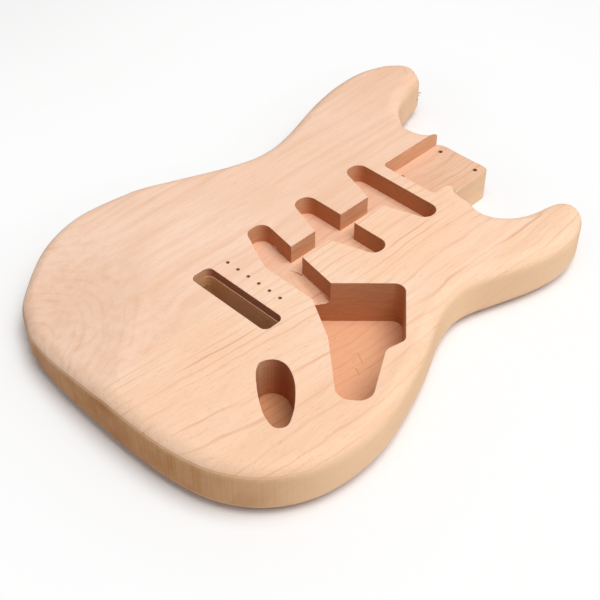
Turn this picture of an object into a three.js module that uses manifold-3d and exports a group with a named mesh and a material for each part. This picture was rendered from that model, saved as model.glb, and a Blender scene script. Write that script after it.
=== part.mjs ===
import * as THREE from 'three';
import { mergeVertices } from 'three/addons/utils/BufferGeometryUtils.js';
import Module from 'manifold-3d';

const wasm = await Module();
wasm.setup();

// Solid body blank for a bolt-on neck, lying on its back, in millimetres.
// X runs across the body towards the treble side, Y towards the neck and Z
// out of the front. Before the last shift, Y = 0 is the line of the bridge
// screws and X = 0 the centre line of the strings.

const bodyWidth = 328;
const bodyLength = 474;
const bodyThickness = 44.45;
const roundOverShare = 0.0387;
const clearOfFace = 9;

const neckPocketWidth = 56;
const neckPocketLength = 75.75;
const neckPocketDepth = 15.9;
const neckPocketCorner = 4.5;
const neckPocketEndShare = 0.3718;
const neckBoltRadius = 2;
const neckBoltAcross = 38.1;
const neckBoltAlong = 51;
const neckBoltInset = 9;

const pickupLength = 89.6;
const pickupSide = 16.8;
const pickupWidest = 29.1;
const pickupDepth = 17;
const pickupCorner = 9;
const channelWidth = 14.8;
const channelCorner = 1.5;
const neckPickupShare = 0.3467;
const middlePickupShare = 0.2172;

const routerRadius = 10;
const controlDepth = 39;
const jackDepth = 35;

const slotLength = 80.6;
const slotWidth = 18.8;
const slotCorner = 5.5;
const slotLedge = 0.8;
const slotLedgeDepth = 7.8;
const slotCentreShare = 0.0159;
const slotFarShare = -0.0277;

const screwPitch = 11.28;
const screwRadius = 1.5;
const screwDepth = 20;
const screwPlaces = [-2.5, -1.5, -0.5, 0.5, 1.5, 2.5];

const springLength = 104;
const springWidth = 62;
const springDepth = 16;
const springCorner = 8;
const blockLength = 83;
const blockWidth = 36;
const blockDepth = 28;
const blockOverhang = 0.5;
const clawScrewRadius = 1.5;
const clawScrewDepth = 28;
const clawScrewSpacing = 30;

const troughRadius = 6;
const troughRise = 6.2;
const troughFall = -2.2;
const wireHoleRadius = 3.5;
const wireHoleHeight = 21;
const earthHoleRadius = 2.5;
const earthHoleHeight = 10;

// Depths of the two comfort contours at the edge, as shares of the thickness.
const forearmDropShares = [-0.05, 0.02, 0.05, 0.1, 0.17, 0.24, 0.29, 0.29, 0.23, 0.14, 0.05, -0.05];
const bellyDropShares = [-0.05, 0.08, 0.2, 0.31, 0.38, 0.4, 0.36, 0.27, 0.15, 0.04, -0.05];
const forearmSpanShares = [0.366, 0.512];
const bellySpanShares = [0.252, 0.366];
const contourLift = 1;
const contourColumns = [0.2, 0.4, 0.6, 0.8, 1];

// Planes of the glue seams between the boards, across the body.
const seamShares = [0.0091, 0.3262];
const boardColours = ['#e3c3a6', '#f3d3b6', '#f0cfae'];
const boardNames = ['bass_board', 'middle_board', 'treble_board'];

const arcSteps = 6;
const roundSteps = 4;
const curveSteps = 2;
const holeSides = 16;
const contourSteps = 22;

// Outline, anticlockwise from the treble corner of the heel: X, Y, and how
// much of the round-over the front and back edges have there. Heel rows are
// shares of the neck pocket, with Y from its end wall. In the cutaway and horn
// rows X is a share of the wood beside the pocket, less than 0 on the bass
// side, and Y is a share of the pocket's length in the cutaways and of the
// body's in the horns. Body rows are shares of the whole body, with Y from the
// bridge screws.
const heelShares = [
  [0.4321, 0.9974, 0.1, 0.1],
  [0.1607, 1.0007, 0.1, 0.1],
  [-0.1429, 1.0008, 0.1, 0.1],
  [-0.4071, 0.9987, 0.25, 0.1],
  [-0.4839, 0.9696, 0.45, 0.1],
];
const bassCutawayShares = [
  [-0.0118, 0.9129, 0.6, 0.12],
  [-0.0368, 0.8746, 0.85, 0.3],
  [-0.0779, 0.8389, 0.97, 0.65],
  [-0.1324, 0.8178, 1, 1],
  [-0.1912, 0.8205, 1, 1],
  [-0.2426, 0.8574, 1, 1],
];
const bassHornShares = [
  [-0.2941, 0.5200, 1, 1],
  [-0.3463, 0.5342, 1, 1],
  [-0.3919, 0.5517, 1, 1],
  [-0.4316, 0.5743, 1, 1],
  [-0.4574, 0.5992, 1, 1],
  [-0.4860, 0.6230, 1, 1],
  [-0.5118, 0.6468, 1, 1],
  [-0.5699, 0.6610, 1, 1],
  [-0.6309, 0.6692, 1, 1],
  [-0.6949, 0.6656, 1, 1],
  [-0.7500, 0.6532, 1, 1],
  [-0.8044, 0.6340, 1, 1],
  [-0.8397, 0.6103, 1, 1],
  [-0.8662, 0.5827, 1, 1],
  [-0.8757, 0.5485, 1, 1],
  [-0.8647, 0.5061, 1, 1],
  [-0.8360, 0.4614, 1, 1],
  [-0.7971, 0.4192, 1, 1],
  [-0.7559, 0.3833, 1, 1],
  [-0.7162, 0.3496, 1, 1],
  [-0.6846, 0.3179, 1, 1],
  [-0.6625, 0.2888, 1, 1],
];
const bodyShares = [
  [-0.3573, 0.2616, 1, 1],
  [-0.3598, 0.2346, 1, 1],
  [-0.3698, 0.2057, 1, 1],
  [-0.3835, 0.1764, 1, 1],
  [-0.4012, 0.1456, 1, 1],
  [-0.4216, 0.1129, 1, 1],
  [-0.4436, 0.0768, 1, 1],
  [-0.4649, 0.0409, 1, 1],
  [-0.4817, 0.0000, 1, 1],
  [-0.4939, -0.0422, 1, 1],
  [-0.5000, -0.0886, 1, 1],
  [-0.4930, -0.1287, 1, 1],
  [-0.4759, -0.1673, 1, 1],
  [-0.4448, -0.2049, 1, 1],
  [-0.4067, -0.2388, 1, 1],
  [-0.3628, -0.2705, 1, 1],
  [-0.3128, -0.2886, 1, 1],
  [-0.2622, -0.3051, 1, 1],
  [-0.2055, -0.3139, 1, 1],
  [-0.1454, -0.3188, 1, 1],
  [-0.0790, -0.3211, 1, 1],
  [-0.0061, -0.3224, 1, 1],
  [0.0668, -0.3228, 1, 1],
  [0.1396, -0.3213, 1, 1],
  [0.2122, -0.3175, 1, 1],
  [0.2723, -0.3101, 1, 1],
  [0.3198, -0.3004, 1, 1],
  [0.3604, -0.2865, 1, 1],
  [0.3988, -0.2675, 1, 1],
  [0.4314, -0.2439, 1, 1],
  [0.4582, -0.2154, 1, 1],
  [0.4771, -0.1840, 1, 1],
  [0.4881, -0.1468, 1, 1],
  [0.4912, -0.1097, 1, 1],
  [0.4887, -0.0745, 1, 1],
  [0.4793, -0.0392, 1, 1],
  [0.4637, -0.0017, 1, 1],
  [0.4433, 0.0403, 1, 1],
  [0.4216, 0.0781, 1, 1],
  [0.4006, 0.1097, 1, 1],
  [0.3811, 0.1373, 1, 1],
  [0.3649, 0.1652, 1, 1],
  [0.3540, 0.1932, 1, 1],
];
const trebleHornShares = [
  [0.6368, 0.2217, 1, 1],
  [0.6551, 0.2523, 1, 1],
  [0.6926, 0.2844, 1, 1],
  [0.7324, 0.3160, 1, 1],
  [0.7706, 0.3483, 1, 1],
  [0.8000, 0.3806, 1, 1],
  [0.8176, 0.4137, 1, 1],
  [0.8184, 0.4428, 1, 1],
  [0.8000, 0.4698, 1, 1],
  [0.7721, 0.4916, 1, 1],
  [0.7360, 0.5093, 0.95, 0.95],
  [0.6882, 0.5211, 0.9, 0.9],
  [0.6368, 0.5243, 0.9, 0.9],
  [0.5882, 0.5203, 0.9, 0.9],
  [0.5485, 0.5091, 0.9, 0.9],
  [0.5228, 0.4901, 0.95, 0.95],
  [0.5029, 0.4656, 1, 1],
  [0.4743, 0.4420, 1, 1],
  [0.4301, 0.4219, 1, 1],
];
const trebleCutawayShares = [
  [0.3750, 0.2277, 1, 1],
  [0.3125, 0.1868, 1, 1],
  [0.2500, 0.1921, 1, 1],
  [0.1912, 0.2343, 1, 1],
  [0.1397, 0.2436, 1, 0.9],
  [0.0926, 0.2541, 1, 0.6],
  [0.0515, 0.2752, 1, 0.4],
  [0.0206, 0.3149, 1, 0.2],
  [0.0022, 0.3756, 0.95, 0.1],
];
const heelWallShares = [
  [0.4929, 0.4851, 0.6, 0.1],
  [0.4923, 0.6568, 0.1, 0.1],
  [0.4911, 0.8416, 0.1, 0.1],
  [0.4839, 0.9578, 0.1, 0.1],
];

// Corners of the cavities, with the last number a share of the cutter radius.
const controlShares = [
  [0.0915, 0.0530, 0.6],
  [0.2534, 0.1629, 0.85],
  [0.3729, 0.0671, 0.7],
  [0.3607, 0.0316, 1],
  [0.4393, -0.0599, 1.1],
  [0.3835, -0.0918, 1.1],
  [0.2476, -0.0099, 3],
];
const bridgeShares = [
  [-0.1372, 0.1131, 0.8],
  [-0.1372, 0.0734, 0.8],
  [-0.0137, 0.0344, 2.2],
  [0.1585, 0.0338, 0],
  [0.1585, 0.0772, 0],
];
const jackShares = [
  [0.1982, -0.1171],
  [0.2122, -0.0992],
  [0.2387, -0.0937],
  [0.2796, -0.1051],
  [0.3201, -0.1295],
  [0.3524, -0.1582],
  [0.3634, -0.1772],
  [0.3494, -0.1899],
  [0.3189, -0.1869],
  [0.2796, -0.1726],
  [0.2387, -0.1517],
  [0.2079, -0.1316],
];

// Where the comfort contours meet the flat faces.
const forearmBreakShares = [
  [-0.3720, 0.0549],
  [-0.3415, 0.0105],
  [-0.2988, -0.0295],
  [-0.2439, -0.0696],
  [-0.1829, -0.1139],
  [-0.1250, -0.1646],
  [-0.0610, -0.2278],
  [0.0000, -0.2743],
  [0.0671, -0.2954],
];
const bellyBreakShares = [
  [-0.3720, 0.4473],
  [-0.3171, 0.4093],
  [-0.2500, 0.3544],
  [-0.2012, 0.2869],
  [-0.1890, 0.2152],
  [-0.2256, 0.1435],
  [-0.2988, 0.0928],
  [-0.3841, 0.0696],
];

// Ends of the drilled ways: X and Y of the start, then of the end.
const troughShares = [-0.0061, 0.084, 0.1707, 0.0538];
const wireHoleShares = [0.372, -0.0591, 0.3317, -0.1473];
const earthHoleShares = [0.0762, 0.0105, 0.2012, 0.0211];

const neckPocketEnd = neckPocketEndShare * bodyLength;
const roundOver = roundOverShare * bodyWidth;

const onBody = ([x, y]) => new THREE.Vector2(x * bodyWidth, y * bodyLength);

const onPocket = ([x, y]) => new THREE.Vector2(
  x * neckPocketWidth,
  neckPocketEnd + y * neckPocketLength,
);

const besidePocket = (x) => Math.sign(x) * neckPocketWidth / 2 + x * (bodyWidth - neckPocketWidth) / 2;

const onHorn = ([x, y]) => new THREE.Vector2(besidePocket(x), y * bodyLength);

const onCutaway = ([x, y]) => new THREE.Vector2(
  besidePocket(x),
  neckPocketEnd + y * neckPocketLength,
);

const runs = [
  [heelShares, onPocket],
  [bassCutawayShares, onCutaway],
  [bassHornShares, onHorn],
  [bodyShares, onBody],
  [trebleHornShares, onHorn],
  [trebleCutawayShares, onCutaway],
  [heelWallShares, onPocket],
];

function outlineCurves() {
  const places = runs.flatMap(([rows, placed]) => rows.map(placed));
  const rounds = runs.flatMap(([rows]) => rows);
  const path = places.map((place) => new THREE.Vector3(place.x, place.y, 0));
  const edges = rounds.map((row) => new THREE.Vector3(row[2], row[3], 0));
  return {
    count: places.length,
    path: new THREE.CatmullRomCurve3(path, true, 'centripetal'),
    edges: new THREE.CatmullRomCurve3(edges, true, 'catmullrom', 0),
  };
}

const outline = outlineCurves();

// One place on the outline, with its outward direction and its two edge radii.
function outlineAt(share) {
  const place = outline.path.getPoint(share);
  const along = outline.path.getTangent(share);
  const edge = outline.edges.getPoint(share);
  return {
    x: place.x,
    y: place.y,
    outX: along.y,
    outY: -along.x,
    front: edge.x * roundOver,
    back: edge.y * roundOver,
  };
}

function solidFrom(positions, faces) {
  const raw = new THREE.BufferGeometry();
  raw.setAttribute('position', new THREE.Float32BufferAttribute(positions.flat(), 3));
  raw.setIndex(faces.flat());
  return solidOf(raw);
}

function solidOf(geometry) {
  const bare = geometry.clone();
  bare.deleteAttribute('normal');
  bare.deleteAttribute('uv');
  const merged = mergeVertices(bare);
  const vertProperties = Float32Array.from(merged.attributes.position.array);
  const triVerts = Uint32Array.from(merged.index.array);
  return new wasm.Manifold(new wasm.Mesh({ numProp: 3, vertProperties, triVerts }));
}

// A closed skin over a stack of rings that all have the same number of points.
function stacked(rings) {
  const size = rings[0].length;
  const faces = [];
  rings.slice(1).forEach((ring, level) => {
    ring.forEach((point, index) => {
      const next = (index + 1) % size;
      const low = level * size;
      const high = low + size;
      faces.push([low + index, low + next, high + next]);
      faces.push([low + index, high + next, high + index]);
    });
  });
  const top = (rings.length - 1) * size;
  lidFaces(rings[rings.length >> 1]).forEach(([a, b, c]) => {
    faces.push([c, b, a]);
    faces.push([top + a, top + b, top + c]);
  });
  return solidFrom(rings.flat(), faces);
}

// Both lids share the pattern of the middle ring, which is the widest.
function lidFaces(ring) {
  const flat = ring.map(([x, y]) => new THREE.Vector2(x, y));
  return THREE.ShapeUtils.triangulateShape(flat, []);
}

function prism(points, low, high) {
  const turned = THREE.ShapeUtils.isClockWise(points) ? points.slice().reverse() : points;
  const ringAt = (z) => turned.map((point) => [point.x, point.y, z]);
  return stacked([ringAt(low), ringAt(high)]);
}

// A polygon with each corner turned into an arc: [point, radius] pairs.
function rounded(corners) {
  const count = corners.length;
  return corners.flatMap(([point, radius], index) => {
    const before = corners[(index + count - 1) % count][0];
    const after = corners[(index + 1) % count][0];
    return radius === 0 ? [point] : cornerArc(before, point, after, radius);
  });
}

function cornerArc(before, point, after, radius) {
  const back = before.clone().sub(point).normalize();
  const ahead = after.clone().sub(point).normalize();
  const half = Math.acos(back.dot(ahead)) / 2;
  const run = radius / Math.tan(half);
  const middle = back.clone().add(ahead).normalize();
  const centre = middle.multiplyScalar(radius / Math.sin(half)).add(point);
  const first = back.multiplyScalar(run).add(point).sub(centre);
  const last = ahead.multiplyScalar(run).add(point).sub(centre);
  const arc = [];
  for (let step = 0; step <= arcSteps; step += 1) {
    const spoke = first.clone().lerp(last, step / arcSteps).setLength(radius);
    arc.push(spoke.add(centre));
  }
  return arc;
}

function closedCurve(points) {
  const spots = points.map((point) => new THREE.Vector3(point.x, point.y, 0));
  const curve = new THREE.CatmullRomCurve3(spots, true, 'centripetal');
  return curve.getPoints(spots.length * curveSteps).slice(0, -1);
}

// A pocket sunk from the front face to a depth.
function fromFront(points, depth) {
  return prism(points, bodyThickness - depth, bodyThickness + clearOfFace);
}

// A pocket sunk from the back face to a depth.
function fromBack(points, depth) {
  return prism(points, -clearOfFace, depth);
}

function rectangle(left, right, near, far, radius) {
  return rounded([
    [new THREE.Vector2(left, near), radius],
    [new THREE.Vector2(right, near), radius],
    [new THREE.Vector2(right, far), radius],
    [new THREE.Vector2(left, far), radius],
  ]);
}

// A straight drilled hole between two points.
function drilled(start, end, radius) {
  const length = start.distanceTo(end);
  const bore = new THREE.CylinderGeometry(radius, radius, length, holeSides);
  const along = end.clone().sub(start).normalize();
  const turn = new THREE.Quaternion().setFromUnitVectors(new THREE.Vector3(0, 1, 0), along);
  const middle = start.clone().add(end).multiplyScalar(0.5);
  bore.applyQuaternion(turn);
  bore.translate(middle.x, middle.y, middle.z);
  return solidOf(bore);
}

function wholeBlank() {
  const spots = [];
  const count = outline.count * curveSteps;
  for (let step = 0; step < count; step += 1) {
    spots.push(outlineAt(step / count));
  }
  const rings = [];
  for (let step = roundSteps; step >= 0; step -= 1) {
    rings.push(spots.map((spot) => edgePoint(spot, spot.back, step, 0, 1)));
  }
  for (let step = 0; step <= roundSteps; step += 1) {
    rings.push(spots.map((spot) => edgePoint(spot, spot.front, step, bodyThickness, -1)));
  }
  return stacked(rings);
}

// A point on the rounded edge: step 0 is on the side wall, the last on the face.
function edgePoint(spot, radius, step, face, inward) {
  const angle = (step / roundSteps) * (Math.PI / 2);
  const inset = radius * (1 - Math.cos(angle));
  const height = face + inward * radius * (1 - Math.sin(angle));
  return [spot.x - spot.outX * inset, spot.y - spot.outY * inset, height];
}

// The wood taken off by a comfort contour: a sheet that starts outside the
// edge, follows the rounded edge and rises to the face at the break line.
function contourCut(span, drops, breakShares, face, inward) {
  const breakLine = new THREE.CatmullRomCurve3(
    breakShares.map(onBody).map((point) => new THREE.Vector3(point.x, point.y, 0)),
    false,
    'centripetal',
  );
  const sheet = [];
  for (let step = 0; step <= contourSteps; step += 1) {
    const share = step / contourSteps;
    const spot = outlineAt(THREE.MathUtils.lerp(span[0], span[1], share));
    const drop = alongTable(drops, share) * bodyThickness;
    sheet.push(contourRow(spot, breakLine.getPoint(share), drop, face, inward));
  }
  const away = face - inward * clearOfFace;
  return blanket(sheet, away);
}

function contourRow(spot, breakPoint, drop, face, inward) {
  const level = face + inward * drop;
  const row = [[
    spot.x + spot.outX * clearOfFace,
    spot.y + spot.outY * clearOfFace,
    level + inward * (roundOver + clearOfFace),
  ]];
  for (let step = 0; step <= roundSteps; step += 1) {
    row.push(edgePoint(spot, roundOver, step, level, inward));
  }
  const [startX, startY] = row[row.length - 1];
  contourColumns.forEach((reach) => {
    row.push([
      THREE.MathUtils.lerp(startX, breakPoint.x, reach),
      THREE.MathUtils.lerp(startY, breakPoint.y, reach),
      THREE.MathUtils.lerp(level, face - inward * contourLift, reach),
    ]);
  });
  return row;
}

function alongTable(table, share) {
  const place = share * (table.length - 1);
  const low = Math.floor(place);
  const high = Math.ceil(place);
  return THREE.MathUtils.lerp(table[low], table[high], place - low);
}

// A closed solid between a sheet of points and a level lid beyond it.
function blanket(sheet, away) {
  const rows = sheet.length;
  const columns = sheet[0].length;
  const positions = sheet.flat().concat(sheet.flat().map(([x, y]) => [x, y, away]));
  const lid = rows * columns;
  const faces = [];
  const quad = (a, b, c, d) => faces.push([a, b, c], [a, c, d]);
  const spot = (row, column) => row * columns + column;
  for (let row = 0; row < rows - 1; row += 1) {
    for (let column = 0; column < columns - 1; column += 1) {
      const a = spot(row, column);
      const b = spot(row + 1, column);
      const c = spot(row + 1, column + 1);
      const d = spot(row, column + 1);
      quad(a, d, c, b);
      quad(lid + a, lid + b, lid + c, lid + d);
    }
    const near = [spot(row, 0), spot(row + 1, 0)];
    const far = [spot(row, columns - 1), spot(row + 1, columns - 1)];
    quad(near[0], near[1], lid + near[1], lid + near[0]);
    quad(far[1], far[0], lid + far[0], lid + far[1]);
  }
  for (let column = 0; column < columns - 1; column += 1) {
    const first = [spot(0, column), spot(0, column + 1)];
    const last = [spot(rows - 1, column), spot(rows - 1, column + 1)];
    quad(first[1], first[0], lid + first[0], lid + first[1]);
    quad(last[0], last[1], lid + last[1], lid + last[0]);
  }
  return outwards(positions, faces);
}

function outwards(positions, faces) {
  const corner = (index) => new THREE.Vector3(...positions[index]);
  const volume = faces.reduce((sum, [a, b, c]) => sum + corner(a).dot(corner(b).cross(corner(c))), 0);
  const turned = volume > 0 ? faces : faces.map(([a, b, c]) => [c, b, a]);
  return solidFrom(positions, turned);
}

function neckPocket() {
  const half = neckPocketWidth / 2;
  const open = neckPocketEnd + neckPocketLength + clearOfFace;
  const points = rectangle(-half, half, neckPocketEnd, open, neckPocketCorner);
  return fromFront(points, neckPocketDepth);
}

function neckBoltHoles() {
  const outer = neckPocketEnd + neckPocketLength - neckBoltInset;
  return [-neckBoltAcross / 2, neckBoltAcross / 2].flatMap((x) => (
    [outer, outer - neckBoltAlong].map((y) => drilled(
      new THREE.Vector3(x, y, -clearOfFace),
      new THREE.Vector3(x, y, bodyThickness),
      neckBoltRadius,
    ))
  ));
}

// A pickup cavity with a straight far edge and a near edge that runs to a V.
function pickupCavity(far) {
  const half = pickupLength / 2;
  const mouth = channelWidth / 2;
  const points = rounded([
    [new THREE.Vector2(-half, far), pickupCorner],
    [new THREE.Vector2(-half, far - pickupSide), pickupCorner],
    [new THREE.Vector2(-mouth, far - pickupWidest), channelCorner],
    [new THREE.Vector2(mouth, far - pickupWidest), channelCorner],
    [new THREE.Vector2(half, far - pickupSide), pickupCorner],
    [new THREE.Vector2(half, far), pickupCorner],
  ]);
  return fromFront(points, pickupDepth);
}

function pickupChannel() {
  const half = channelWidth / 2;
  const near = onBody(bridgeShares[bridgeShares.length - 1]).y;
  const far = neckPickupShare * bodyLength - pickupSide;
  return fromFront(rectangle(-half, half, near, far, channelCorner), pickupDepth);
}

const routed = (rows) => rounded(rows.map((row) => [onBody(row), row[2] * routerRadius]));

function drilledTrough() {
  const [startX, startY, endX, endY] = troughShares;
  const floor = bodyThickness - pickupDepth;
  const start = onBody([startX, startY]);
  const end = onBody([endX, endY]);
  return drilled(
    new THREE.Vector3(start.x, start.y, floor + troughRise),
    new THREE.Vector3(end.x, end.y, floor + troughFall),
    troughRadius,
  );
}

function levelHole([startX, startY, endX, endY], height, radius) {
  const start = onBody([startX, startY]);
  const end = onBody([endX, endY]);
  return drilled(
    new THREE.Vector3(start.x, start.y, height),
    new THREE.Vector3(end.x, end.y, height),
    radius,
  );
}

function slotPoints(ledge) {
  const centre = slotCentreShare * bodyWidth;
  const far = slotFarShare * bodyLength;
  const half = slotLength / 2;
  return rectangle(centre - half, centre + half, far - slotWidth, far - ledge, slotCorner);
}

function bridgeSlot() {
  const through = prism(slotPoints(slotLedge), -clearOfFace, bodyThickness + clearOfFace);
  return through.add(fromFront(slotPoints(0), slotLedgeDepth));
}

function bridgeScrewHoles() {
  return screwPlaces.map((place) => drilled(
    new THREE.Vector3(place * screwPitch, 0, bodyThickness - screwDepth),
    new THREE.Vector3(place * screwPitch, 0, bodyThickness + clearOfFace),
    screwRadius,
  ));
}

function springCavity() {
  const far = slotFarShare * bodyLength + blockOverhang;
  const half = springWidth / 2;
  const points = rectangle(-half, half, far - blockWidth, far + springLength - blockWidth / 2, springCorner);
  return fromBack(points, springDepth);
}

function blockCavity() {
  const centre = slotCentreShare * bodyWidth;
  const half = blockLength / 2;
  const far = slotFarShare * bodyLength + blockOverhang;
  return fromBack(rectangle(centre - half, centre + half, far - blockWidth, far, slotCorner), blockDepth);
}

function clawScrewHoles() {
  const wall = slotFarShare * bodyLength + blockOverhang + springLength - blockWidth / 2;
  return [-clawScrewSpacing / 2, clawScrewSpacing / 2].map((x) => drilled(
    new THREE.Vector3(x, wall - clearOfFace, springDepth / 2),
    new THREE.Vector3(x, wall + clawScrewDepth, springDepth / 2),
    clawScrewRadius,
  ));
}

function allCuts() {
  return [
    contourCut(forearmSpanShares, forearmDropShares, forearmBreakShares, bodyThickness, -1),
    contourCut(bellySpanShares, bellyDropShares, bellyBreakShares, 0, 1),
    neckPocket(),
    ...neckBoltHoles(),
    pickupCavity(neckPickupShare * bodyLength),
    pickupCavity(middlePickupShare * bodyLength),
    fromFront(routed(bridgeShares), pickupDepth),
    pickupChannel(),
    drilledTrough(),
    fromFront(routed(controlShares), controlDepth),
    fromFront(closedCurve(jackShares.map(onBody)), jackDepth),
    levelHole(wireHoleShares, wireHoleHeight, wireHoleRadius),
    bridgeSlot(),
    ...bridgeScrewHoles(),
    springCavity(),
    blockCavity(),
    ...clawScrewHoles(),
    levelHole(earthHoleShares, earthHoleHeight, earthHoleRadius),
  ];
}

function boardSlab(left, right) {
  const points = [
    new THREE.Vector2(left, -bodyLength),
    new THREE.Vector2(right, -bodyLength),
    new THREE.Vector2(right, bodyLength),
    new THREE.Vector2(left, bodyLength),
  ];
  return prism(points, -clearOfFace, bodyThickness + clearOfFace);
}

function geometryOf(solid) {
  const mesh = solid.getMesh();
  const geometry = new THREE.BufferGeometry();
  geometry.setAttribute('position', new THREE.BufferAttribute(Float32Array.from(mesh.vertProperties), 3));
  geometry.setIndex(Array.from(mesh.triVerts));
  const flat = geometry.toNonIndexed();
  flat.computeVertexNormals();
  return flat;
}

function boards() {
  const carved = allCuts().reduce((body, cut) => body.subtract(cut), wholeBlank());
  const planes = [-bodyWidth, ...seamShares.map((share) => share * bodyWidth), bodyWidth];
  return boardNames.map((name, index) => {
    const slab = boardSlab(planes[index], planes[index + 1]);
    const colour = boardColours[index];
    const wood = new THREE.MeshStandardMaterial({ color: colour, roughness: 0.7, metalness: 0 });
    const board = new THREE.Mesh(geometryOf(carved.intersect(slab)), wood);
    board.name = name;
    return board;
  });
}

const group = new THREE.Group();
boards().forEach((board) => group.add(board));

// The origin goes to the middle of the back face.
const box = new THREE.Box3().setFromObject(group);
const middle = box.getCenter(new THREE.Vector3());
group.position.set(-middle.x, -middle.y, -box.min.z);

export default group;
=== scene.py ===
"""Looks of a bare electric guitar body: three glued alder boards, routed and sanded.

Lengths are millimetres until a mesh is made. X runs across the body towards the
treble side, Y towards the neck and Z out of the front. X = 0 is the middle of
the strings and Y = 0 the row of bridge screws.
"""

import math

import bmesh
import bpy
from mathutils import Matrix, Vector
from mathutils.kdtree import KDTree


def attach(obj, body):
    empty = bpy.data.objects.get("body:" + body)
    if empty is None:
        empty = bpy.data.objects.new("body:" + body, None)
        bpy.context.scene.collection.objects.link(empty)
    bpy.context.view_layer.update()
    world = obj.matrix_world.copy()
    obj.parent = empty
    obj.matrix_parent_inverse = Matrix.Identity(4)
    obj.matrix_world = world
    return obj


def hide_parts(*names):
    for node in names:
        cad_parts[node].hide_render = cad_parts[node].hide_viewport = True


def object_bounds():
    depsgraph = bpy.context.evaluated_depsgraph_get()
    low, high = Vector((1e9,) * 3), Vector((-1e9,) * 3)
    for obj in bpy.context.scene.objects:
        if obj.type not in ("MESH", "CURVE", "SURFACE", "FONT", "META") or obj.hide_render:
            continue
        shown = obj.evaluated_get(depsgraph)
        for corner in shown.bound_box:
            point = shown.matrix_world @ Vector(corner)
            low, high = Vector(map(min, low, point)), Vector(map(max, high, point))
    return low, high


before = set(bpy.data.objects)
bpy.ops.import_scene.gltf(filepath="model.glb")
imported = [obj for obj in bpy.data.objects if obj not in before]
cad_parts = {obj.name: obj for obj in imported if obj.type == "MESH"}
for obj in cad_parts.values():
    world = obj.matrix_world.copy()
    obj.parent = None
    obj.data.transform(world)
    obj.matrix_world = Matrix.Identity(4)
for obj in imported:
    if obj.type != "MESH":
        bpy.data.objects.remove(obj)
cad_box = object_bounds()

MM = 0.001
BODY = "root"

# ------------------------------------------------------------ sizes of the body

THICKNESS = 44.45
ROUND_OVER = 12.7
BROKEN_EDGE = 0.3

# How far a cutter reaches past the wood.
CLEAR = 9.0

NECK_WIDTH, NECK_LENGTH, NECK_DEPTH, NECK_CORNER, NECK_END = 56.0, 75.75, 15.9, 4.5, 176.25
BOLT_RADIUS, BOLT_ACROSS, BOLT_ALONG, BOLT_INSET = 2.0, 38.1, 51.0, 9.0

PICKUP_LENGTH, PICKUP_SIDE, PICKUP_WIDEST, PICKUP_DEPTH = 89.6, 16.8, 29.1, 17.0
PICKUP_CORNER, CHANNEL_WIDTH, CHANNEL_CORNER = 9.0, 14.8, 1.5
NECK_PICKUP, MIDDLE_PICKUP = 164.3, 102.9

ROUTER_RADIUS, CONTROL_DEPTH, JACK_DEPTH = 10.0, 39.0, 35.0

# The tremolo slot has a shallow ledge along its far wall. The step keeps the walls
# of its two cutters apart.
SLOT_LENGTH, SLOT_WIDTH, SLOT_CORNER, SLOT_CENTRE, SLOT_FAR = 80.6, 18.8, 5.5, 5.2, -13.1
SLOT_LEDGE, SLOT_LEDGE_DEPTH, SLOT_STEP = 0.5, 7.8, 0.06

SCREW_PITCH, SCREW_RADIUS, SCREW_DEPTH = 11.28, 1.5, 20.0
SCREW_PLACES = (-2.5, -1.5, -0.5, 0.5, 1.5, 2.5)

SPRING_LENGTH, SPRING_WIDTH, SPRING_DEPTH, SPRING_CORNER = 104.0, 62.0, 16.0, 8.0
BLOCK_LENGTH, BLOCK_WIDTH, BLOCK_DEPTH, BLOCK_OVERHANG = 83.0, 36.0, 28.0, 0.5
CLAW_RADIUS, CLAW_DEPTH, CLAW_SPACING = 1.5, 28.0, 30.0

# Drilled ways for the wires: start, end and radius. The two troughs out of the bridge
# pickup's cavity give X and Y, and run between these two heights over its floor.
TROUGH_RISE, TROUGH_FALL = 6.2, -2.2
TROUGHS = [((-2, 39.8), (56, 25.5), 6.0), ((10, 38.2), (57, 30.2), 5.4)]
WIRE_HOLE = ((122, -28, 21), (108.8, -69.8, 21), 3.5)
EARTH_HOLE = ((25, 5, 10), (66, 10, 10), 2.5)

# Where the three boards are glued together, and a slab that is wider and longer
# than the body, to part them with.
SEAMS = (3.0, 107.0)
SLAB_SIDE, SLAB_END = 200.0, 400.0

# How finely curves are drawn, and the angle in degrees from which an edge is sharp.
ROUND_STEPS, CURVE_STEPS, ARC_STEPS, HOLE_SIDES = 9, 4, 10, 28
CONTOUR_ROWS, EXTENT_STEPS, RIM_STEPS = 66, 2000, 1500
SHARP_ANGLE = 32.0

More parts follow.
